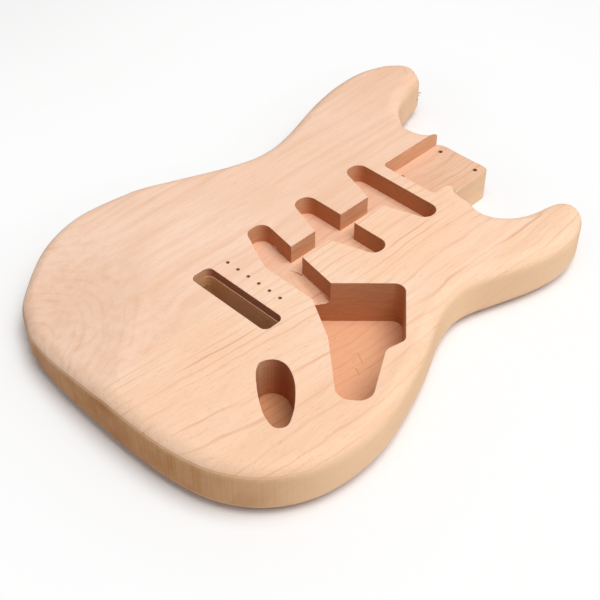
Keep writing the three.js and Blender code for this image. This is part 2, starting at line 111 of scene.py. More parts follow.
# The outline, anticlockwise from the treble corner of the heel: X, Y, then the share
# of the round-over on the front and the back edge where it isn't whole.
OUTLINE = [
    (24.2, 251.8, 0.1, 0.1), (9, 252.05, 0.1, 0.1), (-8, 252.06, 0.1, 0.1),
    (-22.8, 251.9, 0.25, 0.1), (-27.1, 249.7, 0.45, 0.1), (-29.6, 245.4, 0.6, 0.12),
    (-33, 242.5, 0.85, 0.3), (-38.6, 239.8, 0.97, 0.65), (-46, 238.2), (-54, 238.4),
    (-61, 241.2), (-68, 246.5), (-75.1, 253.2), (-81.3, 261.5), (-86.7, 272.2),
    (-90.2, 284), (-94.1, 295.3), (-97.6, 306.6), (-105.5, 313.3), (-113.8, 317.12),
    (-122.5, 315.5), (-130, 309.6), (-137.4, 300.5), (-142.2, 289.3), (-145.8, 276.2),
    (-147.1, 260), (-145.6, 239.9), (-141.7, 218.7), (-136.4, 198.7), (-130.8, 181.7),
    (-125.4, 165.7), (-121.1, 150.7), (-118.1, 136.9), (-117.2, 124), (-118, 111.2),
    (-121.3, 97.5), (-125.8, 83.6), (-131.6, 69), (-138.3, 53.5), (-145.5, 36.4),
    (-152.5, 19.4), (-158, 0), (-162, -20), (-164, -42), (-161.7, -61),
    (-156.1, -79.3), (-145.9, -97.1), (-133.4, -113.2), (-119, -128.2),
    (-102.6, -136.8), (-86, -144.6), (-67.4, -148.8), (-47.7, -151.1), (-25.9, -152.2),
    (-2, -152.8), (21.9, -153), (45.8, -152.3), (69.6, -150.5), (89.3, -147),
    (104.9, -142.4), (118.2, -135.8), (130.8, -126.8), (141.5, -115.6), (150.3, -102.1),
    (156.5, -87.2), (160.1, -69.6), (161.1, -52), (160.3, -35.3), (157.2, -18.6),
    (152.1, -0.8), (145.4, 19.1), (138.3, 37), (131.4, 52), (125, 65.1), (119.7, 78.3),
    (116.1, 91.6), (114.6, 105.1), (117.1, 119.6), (122.2, 134.8), (127.6, 149.8),
    (132.8, 165.1), (136.8, 180.4), (139.2, 196.1), (139.3, 209.9), (136.8, 222.7),
    (133, 233), (128.1, 241.4, 0.95, 0.95), (121.6, 247, 0.9, 0.9),
    (114.6, 248.5, 0.9, 0.9), (108, 246.6, 0.9, 0.9), (102.6, 241.3, 0.9, 0.9),
    (99.1, 232.3, 0.95, 0.95), (96.4, 220.7), (92.5, 209.5), (86.5, 200), (79, 193.5),
    (70.5, 190.4), (62, 190.8), (54, 194), (47, 194.7, 1, 0.9), (40.6, 195.5, 1, 0.6),
    (35, 197.1, 1, 0.4), (30.8, 200.1, 1, 0.2), (28.3, 204.7, 0.95, 0.1),
    (27.6, 213, 0.6, 0.1), (27.57, 226, 0.1, 0.1), (27.5, 240, 0.1, 0.1),
    (27.1, 248.8, 0.1, 0.1),
]

# Corners of the cavities, with the corner radius as a share of the cutter's.
CONTROL = [
    (30, 25.1, 0.6), (83.1, 77.2, 0.85), (122.3, 31.8, 0.7), (118.3, 15, 1),
    (144.1, -28.4, 1.1), (125.8, -43.5, 1.1), (81.2, -4.7, 3),
]
BRIDGE_PICKUP = [
    (-45, 53.6, 0.8), (-45, 34.8, 0.8), (-4.5, 16.3, 2.2), (52, 16, 0), (52, 36.6, 0),
]
JACK = [
    (65, -55.5), (69.6, -47), (78.3, -44.4), (91.7, -49.8), (105, -61.4), (115.6, -75),
    (119.2, -84), (114.6, -90), (104.6, -88.6), (91.7, -81.8), (78.3, -71.9), (68.2, -62.4),
]

# Cutter marks, torn grain and checks as thin grooves, and splinters left standing:
# start, end and radius.
SCARS = [
    ((81.7, 27.5, 5.45), (91.6, 21.6, 5.45), 0.4), ((91.2, 15.2, 5.45), (98, 11.2, 5.45), 0.4),
    ((53, -149.9, 38.4), (54, -150.4, 36.4), 0.35),
    ((71.2, -144.9, 41.8), (74.8, -148.5, 36.9), 0.3),
    ((128.6, -115.8, 43.6), (133.6, -114.6, 42.4), 0.25),
    ((132.4, -110, 44), (133.4, -114.6, 42.5), 0.25),
    ((48.6, 13.8, 44.2), (49.9, 14.3, 44.2), 0.6),
    ((-2, 39, 27.7), (3, 41.6, 27.4), 0.7), ((3, 41.6, 27.4), (9, 42.3, 27), 1.1),
]
SPLINTERS = [
    ((-32, 51.1, 28.2), (-27, 50.1, 29.6), 0.35), ((-29, 50.4, 28.4), (-22.5, 49, 28), 0.4),
    ((-24, 49.3, 28), (-20.5, 48.9, 30.4), 0.25), ((47.9, 43, 11), (48.9, 43.6, 12.6), 0.3),
]
TORN_FIBRES = [
    ((-98, 304.5, 25), (-95.2, 307.3, 25.6), 0.5), ((-97.6, 303.5, 23.5), (-95.6, 306, 22.6), 0.45),
    ((-97, 302, 21.5), (-95.2, 303.8, 19.5), 0.4),
]

# Comfort contours: where each meets the face, how deep it is at the edge as
# shares of the thickness, and the stretch of the outline that it takes.
FOREARM_BREAK = [
    (-122, 26), (-112, 5), (-98, -14), (-80, -33), (-60, -54), (-41, -78), (-20, -108),
    (0, -130), (22, -140),
]
FOREARM_DROPS = [-0.05, 0.02, 0.05, 0.1, 0.17, 0.24, 0.29, 0.29, 0.23, 0.14, 0.05, -0.05]
FOREARM_SPAN = (0.366, 0.512)
BELLY_BREAK = [
    (-122, 212), (-104, 194), (-82, 168), (-66, 136), (-62, 102), (-74, 68), (-98, 44),
    (-126, 33),
]
BELLY_DROPS = [-0.05, 0.08, 0.2, 0.31, 0.38, 0.4, 0.36, 0.27, 0.15, 0.04, -0.05]
BELLY_SPAN = (0.252, 0.366)

# How far across a contour each column lies, and the share of the drop left there.
# The last columns flatten out, because sandpaper blends the contour into the face.
CONTOUR_PROFILE = [
    (0.12, 0.885), (0.25, 0.76), (0.38, 0.63), (0.5, 0.51), (0.62, 0.39), (0.73, 0.28),
    (0.83, 0.185), (0.92, 0.105), (1.0, 0.045), (1.08, 0.0), (1.16, -0.03), (1.24, -0.06),
]


# ------------------------------------------------------------ curves and outlines


# The least gap between two points of a curve, so that nothing is divided by zero.
LEAST_GAP = 1e-6


def curve_point(points, share):
    """A point on the closed smooth curve through the points, and its direction."""
    count = len(points)
    place = share * count
    base = int(math.floor(place))
    part = place - base
    before, start, end, after = (points[(base + step) % count] for step in (-1, 0, 1, 2))
    pairs = ((before, start), (start, end), (end, after))
    gaps = [max((b - a).length, LEAST_GAP) ** 0.5 for a, b in pairs]
    leave = (start - before) / gaps[0] - (end - before) / (gaps[0] + gaps[1])
    leave += (end - start) / gaps[1]
    arrive = (end - start) / gaps[1] - (after - start) / (gaps[1] + gaps[2])
    arrive += (after - end) / gaps[2]
    leave, arrive = leave * gaps[1], arrive * gaps[1]
    square = (end - start) * 3 - leave * 2 - arrive
    cube = (start - end) * 2 + leave + arrive
    spot = start + leave * part + square * part**2 + cube * part**3
    return spot, (leave + square * (2 * part) + cube * (3 * part**2)).normalized()


def eased(table, share):
    """A value between the rows of a closed table, with no overshoot."""
    place = share * len(table)
    base = int(math.floor(place))
    part = place - base
    low, high = table[base % len(table)], table[(base + 1) % len(table)]
    return low + (high - low) * (3 * part**2 - 2 * part**3)


def along(table, share):
    """A value between the rows of an open table, in straight runs."""
    place = min(max(share, 0.0), 1.0) * (len(table) - 1)
    base = min(int(place), len(table) - 2)
    return table[base] + (table[base + 1] - table[base]) * (place - base)


PATH = [Vector(row[:2]) for row in OUTLINE]
FRONT_SHARES = [row[2] if len(row) > 2 else 1.0 for row in OUTLINE]
BACK_SHARES = [row[3] if len(row) > 2 else 1.0 for row in OUTLINE]


def outline_at(share):
    """A place on the outline, its outward direction and its two edge radii."""
    spot, direction = curve_point(PATH, share)
    out = Vector((direction.y, -direction.x))
    front, back = eased(FRONT_SHARES, share), eased(BACK_SHARES, share)
    return spot, out, front * ROUND_OVER, back * ROUND_OVER


# From these coordinates to the frame's: the outline's low corner meets the CAD box's.
EXTENT = [outline_at(step / EXTENT_STEPS)[0] for step in range(EXTENT_STEPS)]
SHIFT = Vector((
    cad_box[0][0] - min(spot.x for spot in EXTENT) * MM,
    cad_box[0][1] - min(spot.y for spot in EXTENT) * MM,
    0.0,
))


def corner_arc(before, point, after, radius):
    """A corner's arc, from the side that comes to it to the side that leaves it."""
    back, ahead = (before - point).normalized(), (after - point).normalized()
    half = back.angle(ahead) / 2
    centre = point + (back + ahead).normalized() * (radius / math.sin(half))
    first = point + back * (radius / math.tan(half)) - centre
    last = point + ahead * (radius / math.tan(half)) - centre
    shares = [step / ARC_STEPS for step in range(ARC_STEPS + 1)]
    return [centre + first.lerp(last, share).normalized() * radius for share in shares]


def rounded(corners):
    """A polygon with each corner turned into an arc: (x, y, radius) rows."""
    count = len(corners)
    points = [Vector(corner[:2]) for corner in corners]
    ring = []
    for index, (x, y, radius) in enumerate(corners):
        before, point, after = points[index - 1], points[index], points[(index + 1) % count]
        ring += [point] if radius == 0 else corner_arc(before, point, after, radius)
    return ring


def rectangle(left, right, near, far, radius):
    corners = ((left, near), (right, near), (right, far), (left, far))
    return rounded([(x, y, radius) for x, y in corners])


def closed_curve(points):
    """The smooth closed curve through the points, as a ring."""
    spots = [Vector(point) for point in points]
    count = len(spots) * CURVE_STEPS
    return [curve_point(spots, step / count)[0] for step in range(count)]


def grown(ring, distance):
    """The ring moved outwards by a small distance."""
    count = len(ring)
    area = sum(ring[i - 1].x * ring[i].y - ring[i].x * ring[i - 1].y for i in range(count))
    side = 1.0 if area > 0 else -1.0
    moved = []
    for index in range(count):
        run = (ring[(index + 1) % count] - ring[index - 1]).normalized()
        moved.append(ring[index] + Vector((run.y, -run.x)) * (side * distance))
    return moved


# ------------------------------------------------------------ meshes and cutters


def lattice_object(name, rings, finishes, bands=()):
    """A closed skin over rings of equal length: side faces and two flat lids.

    Bands gives the number of the finish of each band of side faces. The lids
    and any other band take the first finish.
    """
    shape = bmesh.new()
    rows = [[shape.verts.new(Vector(point) * MM) for point in ring] for ring in rings]
    size = len(rings[0])
    for band, (low, high) in enumerate(zip(rows, rows[1:])):
        for index in range(size):
            after = (index + 1) % size
            face = shape.faces.new((low[index], low[after], high[after], high[index]))
            face.material_index = bands[band] if band < len(bands) else 0
    shape.faces.new(rows[0])
    shape.faces.new(rows[-1])
    return closed_object(name, shape, finishes)


def closed_object(name, shape, finishes):
    """Turns a closed shape into an object, with its faces looking outwards."""
    bmesh.ops.recalc_face_normals(shape, faces=shape.faces[:])
    mesh = bpy.data.meshes.new(name)
    shape.to_mesh(mesh)
    shape.free()
    for finish in finishes:
        mesh.materials.append(finish)
    piece = bpy.data.objects.new(name, mesh)
    bpy.context.scene.collection.objects.link(piece)
    return piece


def level(ring, z):
    return [(point.x, point.y, z) for point in ring]


def prism(name, ring, low, high):
    """An upright block over a ring."""
    return lattice_object(name, [level(ring, low), level(ring, high)], [ROUTED])


def from_front(name, ring, depth, finish=None):
    """A pocket sunk from the front, with the sharp top edge sanded off."""
    wide = grown(ring, BROKEN_EDGE)
    rings = [
        level(ring, THICKNESS - depth),
        level(ring, THICKNESS - BROKEN_EDGE),
        level(wide, THICKNESS),
        level(wide, THICKNESS + CLEAR),
    ]
    return lattice_object(name, rings, [finish or ROUTED, SANDED], (0, 1, 1))


def from_back(name, ring, depth, finish=None):
    """A cavity sunk from the back, with the sharp edge sanded off."""
    wide = grown(ring, BROKEN_EDGE)
    rings = [
        level(wide, -CLEAR), level(wide, 0), level(ring, BROKEN_EDGE), level(ring, depth),
    ]
    return lattice_object(name, rings, [finish or ROUTED, SANDED], (1, 1, 0))


def drilled(name, start, end, radius, finish=None):
    """A straight drilled hole between two points."""
    start, end = Vector(start), Vector(end)
    turn = (end - start).to_track_quat("Z", "Y")
    rings = []
    for middle in (start, end):
        ring = []
        for side in range(HOLE_SIDES):
            angle = 2 * math.pi * side / HOLE_SIDES
            spoke = Vector((radius * math.cos(angle), radius * math.sin(angle), 0))
            ring.append(middle + turn @ spoke)
        rings.append(ring)
    return lattice_object(name, rings, [finish or ROUTED])


def edge_point(spot, out, radius, turn, face, inward):
    """A point on the rounded edge: turn 0 is on the side wall, turn 1 on the face."""
    angle = turn * math.pi / 2
    place = spot - out * (radius * (1 - math.cos(angle)))
    return (place.x, place.y, face + inward * radius * (1 - math.sin(angle)))


def body_blank():
    """The uncut body. It carries every finish, so that each cutter can leave its own."""
    count = len(OUTLINE) * CURVE_STEPS
    spots = [outline_at(step / count) for step in range(count)]
    turns = [step / ROUND_STEPS for step in range(ROUND_STEPS + 1)]
    rings = [
        [edge_point(spot, out, back, turn, 0, 1) for spot, out, front, back in spots]
        for turn in turns[::-1]
    ]
    rings += [
        [edge_point(spot, out, front, turn, THICKNESS, -1) for spot, out, front, back in spots]
        for turn in turns
    ]
    return lattice_object("carved_body", rings, [SANDED, ROUTED, SAWN, MILLED])


def contour_cutter(name, span, drops, break_points, face, inward):
    """The wood that a comfort contour takes off, with its sheet sanded into the face."""
    points = [Vector(point) for point in break_points]
    rows = []
    for step in range(CONTOUR_ROWS + 1):
        share = step / CONTOUR_ROWS
        spot, out, front, back = outline_at(span[0] + (span[1] - span[0]) * share)
        meeting = open_curve(points, share)
        rows.append(contour_row(spot, out, meeting, along(drops, share) * THICKNESS, face, inward))
    away = face - inward * (CLEAR + ROUND_OVER)
    shape = bmesh.new()
    sheet = [[shape.verts.new(Vector(point) * MM) for point in row] for row in rows]
    lid = [[shape.verts.new(Vector((x, y, away)) * MM) for x, y, z in row] for row in rows]
    for grid in (sheet, lid):
        for low, high in zip(grid, grid[1:]):
            for index in range(len(low) - 1):
                shape.faces.new((low[index], low[index + 1], high[index + 1], high[index]))
    for near, far in ((sheet[0], lid[0]), (sheet[-1], lid[-1])):
        for index in range(len(near) - 1):
            shape.faces.new((near[index], near[index + 1], far[index + 1], far[index]))
    for column in (0, -1):
        for row in range(len(sheet) - 1):
            low, high = sheet[row], sheet[row + 1]
            shape.faces.new((low[column], high[column], lid[row + 1][column], lid[row][column]))
    return closed_object(name, shape, [SANDED])


def open_curve(points, share):
    """A point on the smooth curve through the points, from the first to the last."""
    place = share * (len(points) - 1)
    base = min(int(place), len(points) - 2)
    first = points[0] * 2 - points[1]
    last = points[-1] * 2 - points[-2]
    padded = [first, *points, last]
    return curve_point(padded, (base + 1 + place - base) / len(padded))[0]


def contour_row(spot, out, meeting, drop, face, inward):
    """One row of a contour's sheet, from outside the body to where it meets the face."""
    surface = face + inward * drop
    outside = spot + out * CLEAR
    row = [(outside.x, outside.y, surface + inward * (ROUND_OVER + CLEAR))]
    for step in range(ROUND_STEPS + 1):
        row.append(edge_point(spot, out, ROUND_OVER, step / ROUND_STEPS, surface, inward))
    start = Vector(row[-1][:2])
    for reach, left in CONTOUR_PROFILE:
        place = start.lerp(meeting, reach)
        row.append((place.x, place.y, face + inward * (drop * left if drop > 0 else drop)))
    return row


def pickup_ring(far):
    """A pickup's cavity: straight on its far side, wider towards the wire channel."""
    half, mouth = PICKUP_LENGTH / 2, CHANNEL_WIDTH / 2
    return rounded([
        (-half, far, PICKUP_CORNER), (-half, far - PICKUP_SIDE, PICKUP_CORNER),
        (-mouth, far - PICKUP_WIDEST, CHANNEL_CORNER), (mouth, far - PICKUP_WIDEST, CHANNEL_CORNER),
        (half, far - PICKUP_SIDE, PICKUP_CORNER), (half, far, PICKUP_CORNER),
    ])


def routed_ring(corners):
    return rounded([(x, y, share * ROUTER_RADIUS) for x, y, share in corners])


def slot_ring(ledge):
    """The tremolo slot, whose far wall stands back by a ledge."""
    left, right = SLOT_CENTRE - SLOT_LENGTH / 2, SLOT_CENTRE + SLOT_LENGTH / 2
    return rectangle(left, right, SLOT_FAR - SLOT_WIDTH, SLOT_FAR - ledge, SLOT_CORNER)


def front_cutters():
    half = NECK_WIDTH / 2
    pocket = rectangle(-half, half, NECK_END, NECK_END + NECK_LENGTH + CLEAR, NECK_CORNER)
    channel = CHANNEL_WIDTH / 2
    near, far = BRIDGE_PICKUP[-1][1], NECK_PICKUP - PICKUP_SIDE
    way = rectangle(-channel, channel, near, far, CHANNEL_CORNER)
    through = (-CLEAR, THICKNESS - SLOT_LEDGE_DEPTH / 2)
    return [
        from_front("neck_pocket_cutter", pocket, NECK_DEPTH, MILLED),
        from_front("neck_pickup_cutter", pickup_ring(NECK_PICKUP), PICKUP_DEPTH),
        from_front("middle_pickup_cutter", pickup_ring(MIDDLE_PICKUP), PICKUP_DEPTH),
        from_front("bridge_pickup_cutter", routed_ring(BRIDGE_PICKUP), PICKUP_DEPTH),
        from_front("channel_cutter", way, PICKUP_DEPTH),
        *trough_cutters(),
        from_front("control_cutter", routed_ring(CONTROL), CONTROL_DEPTH),
        from_front("jack_cutter", closed_curve(JACK), JACK_DEPTH, MILLED),
        drilled("wire_hole_cutter", *WIRE_HOLE),
        from_front("slot_cutter", grown(slot_ring(0), SLOT_STEP), SLOT_LEDGE_DEPTH, MILLED),
        lattice_object(
            "slot_through_cutter", [level(slot_ring(SLOT_LEDGE), z) for z in through], [SAWN]
        ),
    ]


def trough_cutters():
    floor = THICKNESS - PICKUP_DEPTH
    rise, fall = floor + TROUGH_RISE, floor + TROUGH_FALL
    return [
        drilled("trough_cutter", (*start, rise), (*end, fall), radius)
        for start, end, radius in TROUGHS
    ]


def back_cutters():
    far = SLOT_FAR + BLOCK_OVERHANG
    near = far - BLOCK_WIDTH
    spring_wall = far + SPRING_LENGTH - BLOCK_WIDTH / 2
    spring = rectangle(-SPRING_WIDTH / 2, SPRING_WIDTH / 2, near, spring_wall, SPRING_CORNER)
    left, right = SLOT_CENTRE - BLOCK_LENGTH / 2, SLOT_CENTRE + BLOCK_LENGTH / 2
    block = rectangle(left, right, near, SLOT_FAR - SLOT_LEDGE + SLOT_STEP, SLOT_CORNER)
    cutters = [
        from_back("spring_cutter", spring, SPRING_DEPTH),
        from_back("block_cutter", block, BLOCK_DEPTH, SAWN),
        drilled("earth_hole_cutter", *EARTH_HOLE),
    ]
    for x in (-CLAW_SPACING / 2, CLAW_SPACING / 2):
        start = (x, spring_wall - CLEAR, SPRING_DEPTH / 2)
        end = (x, spring_wall + CLAW_DEPTH, SPRING_DEPTH / 2)
        cutters.append(drilled("claw_hole_cutter", start, end, CLAW_RADIUS))
    return cutters


def hole_cutters():
    outer = NECK_END + NECK_LENGTH - BOLT_INSET
    cutters = []
    for x in (-BOLT_ACROSS / 2, BOLT_ACROSS / 2):
        for y in (outer, outer - BOLT_ALONG):
            start, end = (x, y, -CLEAR), (x, y, THICKNESS)
            cutters.append(drilled("bolt_hole_cutter", start, end, BOLT_RADIUS))
    for place in SCREW_PLACES:
        x = place * SCREW_PITCH
        start, end = (x, 0, THICKNESS - SCREW_DEPTH), (x, 0, THICKNESS + CLEAR)
        cutters.append(drilled("screw_hole_cutter", start, end, SCREW_RADIUS))
    return cutters


def small_marks(name, table, finish):
    """Thin rods, cut out of the wood as grooves or joined to it as slivers."""
    return [drilled(name, start, end, radius, finish) for start, end, radius in table]


def cut(piece, cutters, operation="DIFFERENCE"):
    """Cuts the pieces' shapes out of a piece, or keeps what they share, and removes them."""
    for cutter in cutters:
        change = piece.modifiers.new(cutter.name, "BOOLEAN")
        change.operation = operation
        change.solver = "MANIFOLD"
        change.object = cutter
        settle(piece)
        bpy.data.objects.remove(cutter)
    return piece


def settle(piece):
    """Turns a piece's modifiers into its mesh."""
    seen = bpy.context.evaluated_depsgraph_get()
    mesh = bpy.data.meshes.new_from_object(piece.evaluated_get(seen))
    old = piece.data
    piece.modifiers.clear()
    piece.data = mesh
    bpy.data.meshes.remove(old)


# ------------------------------------------------------------ materials

# The share of a year's ring at which its thin brown late-wood line is darkest, and
# how faint the line of the weakest year is.
LATE_WOOD = 0.86
WEAKEST_YEAR = 0.25

# How slowly the rings sway, as cycles per millimetre along X, Y and Z, and the value
# of the noise at which they don't.
SWAY_STRETCH, SWAY_OCTAVES = (0.015, 0.009, 0.015), 3.0
NO_SWAY = (0.5, 0.5, 0.5)

# Each layer of the figure: its cycles per millimetre along X, Y and Z, how many
# octaves it has, the noise values where it starts to show and is full, and how much
# of it shows there. A stain is some 120 mm long. Alder's own fibres and pores are
# under a tenth of a millimetre wide, so they are drawn as coarse as it takes to show.
FIGURE = {
    "worn": ((0.06, 0.012, 0.06), 1.0, (0.38, 0.62), (0.1, 1.0)),
    "stain": ((1 / 120, 1 / 120, 1 / 120), 2.0, (0.35, 0.65), (0.0, 1.0)),
    "streak": ((0.16, 0.006, 0.16), 2.0, (0.42, 0.68), (0.0, 0.5)),
    "fibre": ((1.1, 0.03, 1.1), 3.0, (0.5, 0.8), (0.0, 0.3)),
    "fleck": ((1.5, 0.16, 1.5), 1.0, (0.66, 0.74), (0.0, 0.35)),
    "patch": ((0.03, 0.03, 0.02), 3.0, (0.44, 0.62), (0.0, 1.0)),
    "saw_mark": ((0.8, 0.8, 0.01), 1.0, (0.35, 0.65), (0.86, 1.0)),
    "cutter_rib": ((0.05, 0.05, 0.8), 2.0, (0.4, 0.7), (0.0, 1.0)),
}

# One log for each board: where its pith lies, how far it leans and sinks over the
# stretch of Y in "arch", how thick a year's ring is, and the colours.
BOARD_LOOKS = {
    "bass_board": {
        "pith": -75.0, "lean": 0.0, "depth": (-22.0, 42.0), "arch": (-175.0, -45.0),
        "sway": (14.0, 0.0, 12.0), "ring": 7.0, "line_width": 0.4, "line_strength": 0.26,
        "pale": "#fbd7be", "warm": "#f5ccaf", "streak": "#efbe9b", "line": "#dda27a",
    },
    "middle_board": {
        "pith": 150.0, "lean": 0.02, "depth": (40.0, 55.0), "arch": (-200.0, 100.0),
        "sway": (15.0, 0.0, 12.0), "ring": 5.6, "line_width": 0.24, "line_strength": 0.7,
        "pale": "#fbdac0", "warm": "#f9d0b0", "streak": "#f6c8a5", "line": "#d4956d",
    },
    "treble_board": {
        "pith": 215.0, "lean": -0.04, "depth": (25.0, 45.0), "arch": (-200.0, 100.0),
        "sway": (20.0, 0.0, 12.0), "ring": 6.0, "line_width": 0.3, "line_strength": 0.42,
        "pale": "#fad8bb", "warm": "#f6ccaa", "streak": "#f1c39e", "line": "#d3966e",
    },
}

# What the tools leave, on every board: the sanded sides and end grain, with painted
# contact shade on the rounded lower edge; each kind of cut on walls along the grain,
# on end grain and on floors, where the floor colour is painted shade that deeper
# floors take; and a brown for the cutters' ribs and grain, which is also painted shade
# on deep walls.
TOOL_LOOKS = {
    "side": "#ebc59c", "end": "#b1742c", "patch": "#a9681f", "contact_shade": "#7b4f38",
    "router": "#dba67c", "router_end": "#b2611c", "router_floor": "#efb083",
    "saw": "#e8b57a", "saw_end": "#e8b074", "saw_floor": "#c08a5e",
    "mill": "#e6ae84", "mill_end": "#a04a16", "mill_floor": "#c98247", "cut_marks_and_shade": "#9c4f14",
}

# How far each tone covers the one below it.
SIDE_COVER, END_COVER = 0.75, 0.85
# The next row starts with the most that painted shade covers on deep walls.
WALL_COVER, WALL_SHADE_COVER = 0.85, 0.5
CUT_LINE_COVER, CUT_FIBRE_COVER, RIB_COVER = 0.15, 0.5, 0.22

# The squared Z of a surface's direction at which it is all wall, and at which none.
WALL_TURNS = (0.02, 0.4)

# The direction's Z at which painted contact shade starts on the rounded lower edge, and is full.
CONTACT_SHADE_TURNS = (-0.35, -0.6)

# Painted shade in the cuts fades between these heights, and covers this much at each.
RECESS_SHADE_HEIGHTS, RECESS_SHADE_COVER = (5.0, THICKNESS), (0.85, -0.1)

# Bare wood is dull, and its fibres stand a twentieth of a millimetre high.
ROUGHNESS = (0.58, 0.72)
FIBRE_HEIGHT, FIBRE_RELIEF, RIB_RELIEF = 0.05, 0.3, 0.6


def linear(code):
    """An sRGB hex colour as linear RGBA."""
    parts = [int(code[index:index + 2], 16) / 255 for index in (1, 3, 5)]
    return [c / 12.92 if c <= 0.04045 else ((c + 0.055) / 1.055) ** 2.4 for c in parts] + [1.0]


def node(tree, kind, links=None, **settings):
    """Adds a node. Settings are its own values, and links fill its inputs."""
    made = tree.nodes.new(kind)
    for name, value in settings.items():
        setattr(made, name, value)
    for name, value in (links or {}).items():
        socket = made.inputs[name]
        if isinstance(value, bpy.types.NodeSocket):
            tree.links.new(value, socket)
        else:
            socket.default_value = value
    return made


def log_place(tree, spot, look):
    """A spot's place in the log: across from the pith, along the trunk, above the pith."""
    sway = node(
        tree, "ShaderNodeVectorMath", {0: spot, 1: SWAY_STRETCH}, operation="MULTIPLY"
    ).outputs[0]
    sway = node(
        tree, "ShaderNodeTexNoise", {"Vector": sway, "Scale": 1.0, "Detail": SWAY_OCTAVES}
    ).outputs["Color"]
    sway = node(
        tree, "ShaderNodeVectorMath", {0: sway, 1: NO_SWAY}, operation="SUBTRACT"
    ).outputs[0]
    swayed = node(
        tree, "ShaderNodeVectorMath", {0: sway, 1: look["sway"], 2: spot},
        operation="MULTIPLY_ADD",
    ).outputs[0]
    parts = node(tree, "ShaderNodeSeparateXYZ", {0: swayed}).outputs
    across = node(
        tree, "ShaderNodeMath", {0: parts["Y"], 1: -look["lean"], 2: parts["X"]},
        operation="MULTIPLY_ADD",
    ).outputs[0]
    across = node(
        tree, "ShaderNodeMath", {0: across, 1: look["pith"]}, operation="SUBTRACT"
    ).outputs[0]
    sink = node(
        tree, "ShaderNodeMapRange",
        {"Value": parts["Y"], "From Min": look["arch"][0], "From Max": look["arch"][1],
         "To Min": look["depth"][0], "To Max": look["depth"][1]},
        interpolation_type="SMOOTHSTEP",
    ).outputs[0]
    above = node(
        tree, "ShaderNodeMath", {0: parts["Z"], 1: sink}, operation="ADD"
    ).outputs[0]
    return across, parts["Y"], above


def late_wood(tree, across, above, look):
    """The thin brown line that ends each year's ring, stronger in some years."""
    flat = node(tree, "ShaderNodeCombineXYZ", {"X": across, "Y": 0.0, "Z": above}).outputs[0]
    reach = node(tree, "ShaderNodeVectorMath", {0: flat}, operation="LENGTH").outputs["Value"]
    count = node(
        tree, "ShaderNodeMath", {0: reach, 1: look["ring"]}, operation="DIVIDE"
    ).outputs[0]
    phase = node(tree, "ShaderNodeMath", {0: count}, operation="FRACT").outputs[0]
    year = node(tree, "ShaderNodeMath", {0: count}, operation="FLOOR").outputs[0]
    strength = node(
        tree, "ShaderNodeTexWhiteNoise", {"W": year}, noise_dimensions="1D"
    ).outputs["Value"]
    strength = node(
        tree, "ShaderNodeMapRange", {"Value": strength, "To Min": WEAKEST_YEAR}
    ).outputs[0]
    darkening = node(
        tree, "ShaderNodeMapRange",
        {"Value": phase, "From Min": LATE_WOOD - look["line_width"], "From Max": LATE_WOOD},
        interpolation_type="SMOOTHERSTEP",
    ).outputs[0]
    fading = node(
        tree, "ShaderNodeMapRange",
        {"Value": phase, "From Min": LATE_WOOD, "From Max": 1.0, "To Min": 1.0, "To Max": 0.0},
    ).outputs[0]
    line = node(
        tree, "ShaderNodeMath", {0: darkening, 1: fading}, operation="MULTIPLY"
    ).outputs[0]
    return node(tree, "ShaderNodeMath", {0: line, 1: strength}, operation="MULTIPLY").outputs[0]


def figure(tree, place, layer):
    """One layer of the figure: its bare noise, and how much of the layer shows."""
    stretch, octaves, starts, shows = FIGURE[layer]
    stretched = node(
        tree, "ShaderNodeVectorMath", {0: place, 1: stretch}, operation="MULTIPLY"
    ).outputs[0]
    noise = node(
        tree, "ShaderNodeTexNoise", {"Vector": stretched, "Scale": 1.0, "Detail": octaves}
    ).outputs["Fac"]
    shown = node(
        tree, "ShaderNodeMapRange",
        {"Value": noise, "From Min": starts[0], "From Max": starts[1],
         "To Min": shows[0], "To Max": shows[1]},
    ).outputs[0]
    return noise, shown


def face_grain(tree, spot, look):
    """A clean face: its colour, its late-wood line, and its fibres as height and tone."""
    across, along_trunk, above = log_place(tree, spot, look)
    trunk = node(
        tree, "ShaderNodeCombineXYZ", {"X": across, "Y": along_trunk, "Z": above}
    ).outputs[0]
    line = late_wood(tree, across, above, look)
    worn = figure(tree, trunk, "worn")[1]
    line = node(tree, "ShaderNodeMath", {0: line, 1: worn}, operation="MULTIPLY").outputs[0]
    line_tone = node(
        tree, "ShaderNodeMath", {0: line, 1: look["line_strength"]}, operation="MULTIPLY"
    ).outputs[0]
    fibre, fibre_tone = figure(tree, trunk, "fibre")
    colour = node(
        tree, "ShaderNodeMix",
        {0: figure(tree, spot, "stain")[1], 6: linear(look["pale"]), 7: linear(look["warm"])},
        data_type="RGBA",
    ).outputs[2]
    for amount, tone in (
        (figure(tree, trunk, "streak")[1], "streak"), (line_tone, "line"),
        (fibre_tone, "line"), (figure(tree, trunk, "fleck")[1], "line"),
    ):
        colour = node(
            tree, "ShaderNodeMix", {0: amount, 6: colour, 7: linear(look[tone])},
            data_type="RGBA",
        ).outputs[2]
    return colour, line, fibre, fibre_tone


def surface_lie(tree):
    """How a surface lies: its Z, and how flat, how much wall and how endwise it is."""
    facing = node(tree, "ShaderNodeNewGeometry").outputs["True Normal"]
    facing = node(tree, "ShaderNodeSeparateXYZ", {0: facing}).outputs
    flat = node(
        tree, "ShaderNodeMath", {0: facing["Z"], 1: facing["Z"]}, operation="MULTIPLY"
    ).outputs[0]
    wall = node(
        tree, "ShaderNodeMapRange",
        {"Value": flat, "From Min": WALL_TURNS[0], "From Max": WALL_TURNS[1],
         "To Min": 1.0, "To Max": 0.0},
        interpolation_type="SMOOTHSTEP",
    ).outputs[0]
    endwise = node(
        tree, "ShaderNodeMath", {0: facing["Y"], 1: facing["Y"]}, operation="MULTIPLY"
    ).outputs[0]
    return facing["Z"], flat, wall, endwise


